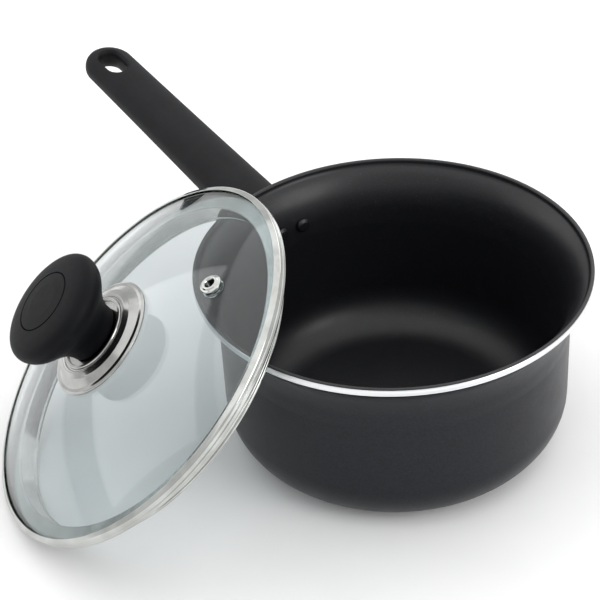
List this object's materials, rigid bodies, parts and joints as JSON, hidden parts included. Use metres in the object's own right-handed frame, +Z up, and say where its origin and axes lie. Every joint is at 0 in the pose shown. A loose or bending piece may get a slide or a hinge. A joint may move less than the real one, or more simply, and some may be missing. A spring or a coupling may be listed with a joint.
{
  "type": "saucepan with glass lid",
  "caption": "Saucepan of dark coated pressed aluminium with a long black moulded handle and a domed glass lid with steel band, steam vent and black knob, leaning on the rim.",
  "frame": {"origin": "centre of the pan's flat base, on the table", "axes": "+Z up, the long handle along -X, the lid leaning on the rim on the -Y side"},
  "size_m": [0.3617, 0.2876, 0.1307],
  "materials": {
    "bare_aluminium": "turned bare edge, satin",
    "nonstick_black": "sprayed PTFE non-stick, fine grain",
    "charcoal_paint": "satin metallic enamel",
    "black_steel": "black coated pressed steel",
    "black_phenolic": "moulded, soft matt",
    "brass_insert": "turned",
    "zinc_steel": "zinc plated",
    "polished_stainless": "polished stainless",
    "clear_silicone": "translucent white",
    "tempered_glass": "clear, faint green-grey tint"
  },
  "bodies": {
    "pan": {"pan_body": "bare_aluminium", "nonstick_lining": "nonstick_black", "exterior_coat": "charcoal_paint", "handle_bracket": "black_steel", "handle_rivet_a": "bare_aluminium", "handle_rivet_b": "bare_aluminium", "handle_grip": "black_phenolic", "handle_insert": "brass_insert", "handle_screw": "zinc_steel", "handle_spring_washer": "zinc_steel"},
    "lid": {"lid_glass": "tempered_glass", "lid_rim_band": "polished_stainless", "vent_eyelet": "polished_stainless", "vent_washer": "polished_stainless", "knob_bezel": "polished_stainless", "bezel_gasket": "clear_silicone", "knob_rubber_washer": "clear_silicone", "knob_steel_washer": "zinc_steel", "knob_screw": "zinc_steel"},
    "knob": {"knob_grip": "black_phenolic", "knob_cap": "black_phenolic", "knob_insert": "brass_insert"}
  },
  "joints": [
    {"name": "lid_lift", "type": "slide", "parent": "pan", "child": "lid", "axis": [0, 0, 1], "range_m": [0, 0.15]},
    {"name": "knob_turn", "type": "hinge", "parent": "lid", "child": "knob", "pos_m": [-0.05149, -0.11565, 0.06566], "axis": [-0.2703, -0.6071, 0.7472], "continuous": true}
  ]
}
